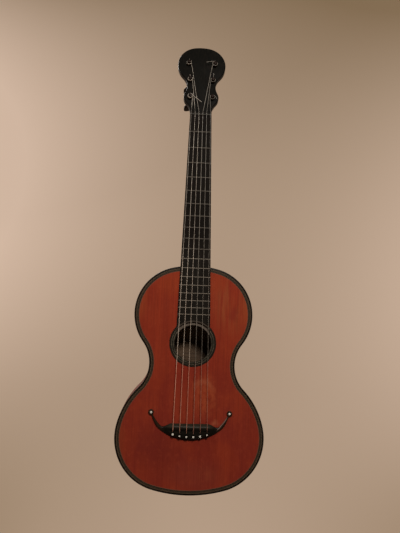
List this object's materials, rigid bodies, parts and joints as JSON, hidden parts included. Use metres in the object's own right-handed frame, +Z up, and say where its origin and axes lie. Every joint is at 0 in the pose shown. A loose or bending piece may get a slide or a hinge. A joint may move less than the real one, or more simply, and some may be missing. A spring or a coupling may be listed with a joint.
{
  "type": "guitar",
  "caption": "Early nineteenth-century style gut-string guitar with a narrow waist, figure-of-eight head with friction pegs and a moustache bridge.",
  "frame": {"origin": "centre line of the neck, level with the nut's front edge and in the plane of the soundboard's face, where a wall hanger holds the neck just behind the nut", "axes": "+Z up the neck from the body to the head, +X to the treble side, front faces -Y"},
  "size_m": [0.2922, 0.0942, 0.9168],
  "materials": {
    "varnished_spruce": "red-brown varnish over fine straight spruce grain",
    "varnished_maple": "dark red-brown varnish over maple",
    "ebony": "polished ebony",
    "edge_inlay": "grey-brown strips of dyed and plain wood",
    "rosette_inlay": "rings of dark and pale wood",
    "black_stained_wood": "black stain under a thin worn polish",
    "raw_spruce": "bare planed spruce",
    "silver": "dull nickel-silver bars",
    "pearl": "polished shell",
    "wound_string": "fine silvered winding",
    "gut": "smooth gut or its modern substitute"
  },
  "bodies": {
    "guitar": {"soundboard": "varnished_spruce", "back": "varnished_maple", "rib_bass": "varnished_maple", "rib_treble": "varnished_maple", "top_binding": "ebony", "back_binding": "ebony", "fingerboard": "ebony", "nut": "ebony", "bridge": "ebony", "saddle": "ebony", "top_purfling": "edge_inlay", "rosette": "rosette_inlay", "neck": "black_stained_wood", "head": "black_stained_wood", "soundboard_bar_1": "raw_spruce", "soundboard_bar_2": "raw_spruce", "soundboard_bar_3": "raw_spruce", "back_bar_1": "raw_spruce", "back_bar_2": "raw_spruce", "back_bar_3": "raw_spruce", "neck_block": "raw_spruce", "end_block": "raw_spruce", "fret_01": "silver", "fret_02": "silver", "fret_03": "silver", "fret_04": "silver", "fret_05": "silver", "fret_06": "silver", "fret_07": "silver", "fret_08": "silver", "fret_09": "silver", "fret_10": "silver", "fret_11": "silver", "fret_12": "silver", "fret_13": "silver", "fret_14": "silver", "fret_15": "silver", "fret_16": "silver", "fret_17": "silver", "fret_18": "silver", "bridge_dot_bass": "pearl", "bridge_dot_treble": "pearl", "string_1": "wound_string", "string_2": "wound_string", "string_3": "wound_string", "string_4": "gut", "string_5": "gut", "string_6": "gut"},
    "peg_1": {"peg_1": "ebony"},
    "peg_2": {"peg_2": "ebony"},
    "peg_3": {"peg_3": "ebony"},
    "peg_4": {"peg_4": "ebony"},
    "peg_5": {"peg_5": "ebony"},
    "peg_6": {"peg_6": "ebony"},
    "bridge_pin_1": {"bridge_pin_1": "ebony"},
    "bridge_pin_2": {"bridge_pin_2": "ebony"},
    "bridge_pin_3": {"bridge_pin_3": "ebony"},
    "bridge_pin_4": {"bridge_pin_4": "ebony"},
    "bridge_pin_5": {"bridge_pin_5": "ebony"},
    "bridge_pin_6": {"bridge_pin_6": "ebony"}
  },
  "joints": [
    {"name": "peg_1_turn", "type": "hinge", "parent": "guitar", "child": "peg_1", "pos_m": [-0.0228, 0.00749, 0.04081], "axis": [0, -0.9781, 0.2079], "continuous": true},
    {"name": "peg_2_turn", "type": "hinge", "parent": "guitar", "child": "peg_2", "pos_m": [-0.0239, 0.01605, 0.08111], "axis": [0, -0.9781, 0.2079], "continuous": true},
    {"name": "peg_3_turn", "type": "hinge", "parent": "guitar", "child": "peg_3", "pos_m": [-0.0274, 0.02437, 0.12024], "axis": [0, -0.9781, 0.2079], "continuous": true},
    {"name": "peg_4_turn", "type": "hinge", "parent": "guitar", "child": "peg_4", "pos_m": [0.0274, 0.02437, 0.12024], "axis": [0, -0.9781, 0.2079], "continuous": true},
    {"name": "peg_5_turn", "type": "hinge", "parent": "guitar", "child": "peg_5", "pos_m": [0.0239, 0.01605, 0.08111], "axis": [0, -0.9781, 0.2079], "continuous": true},
    {"name": "peg_6_turn", "type": "hinge", "parent": "guitar", "child": "peg_6", "pos_m": [0.0228, 0.00749, 0.04081], "axis": [0, -0.9781, 0.2079], "continuous": true},
    {"name": "bridge_pin_1_pull", "type": "slide", "parent": "guitar", "child": "bridge_pin_1", "axis": [0, -1, 0], "range_m": [0, 0.02]},
    {"name": "bridge_pin_2_pull", "type": "slide", "parent": "guitar", "child": "bridge_pin_2", "axis": [0, -1, 0], "range_m": [0, 0.02]},
    {"name": "bridge_pin_3_pull", "type": "slide", "parent": "guitar", "child": "bridge_pin_3", "axis": [0, -1, 0], "range_m": [0, 0.02]},
    {"name": "bridge_pin_4_pull", "type": "slide", "parent": "guitar", "child": "bridge_pin_4", "axis": [0, -1, 0], "range_m": [0, 0.02]},
    {"name": "bridge_pin_5_pull", "type": "slide", "parent": "guitar", "child": "bridge_pin_5", "axis": [0, -1, 0], "range_m": [0, 0.02]},
    {"name": "bridge_pin_6_pull", "type": "slide", "parent": "guitar", "child": "bridge_pin_6", "axis": [0, -1, 0], "range_m": [0, 0.02]}
  ]
}
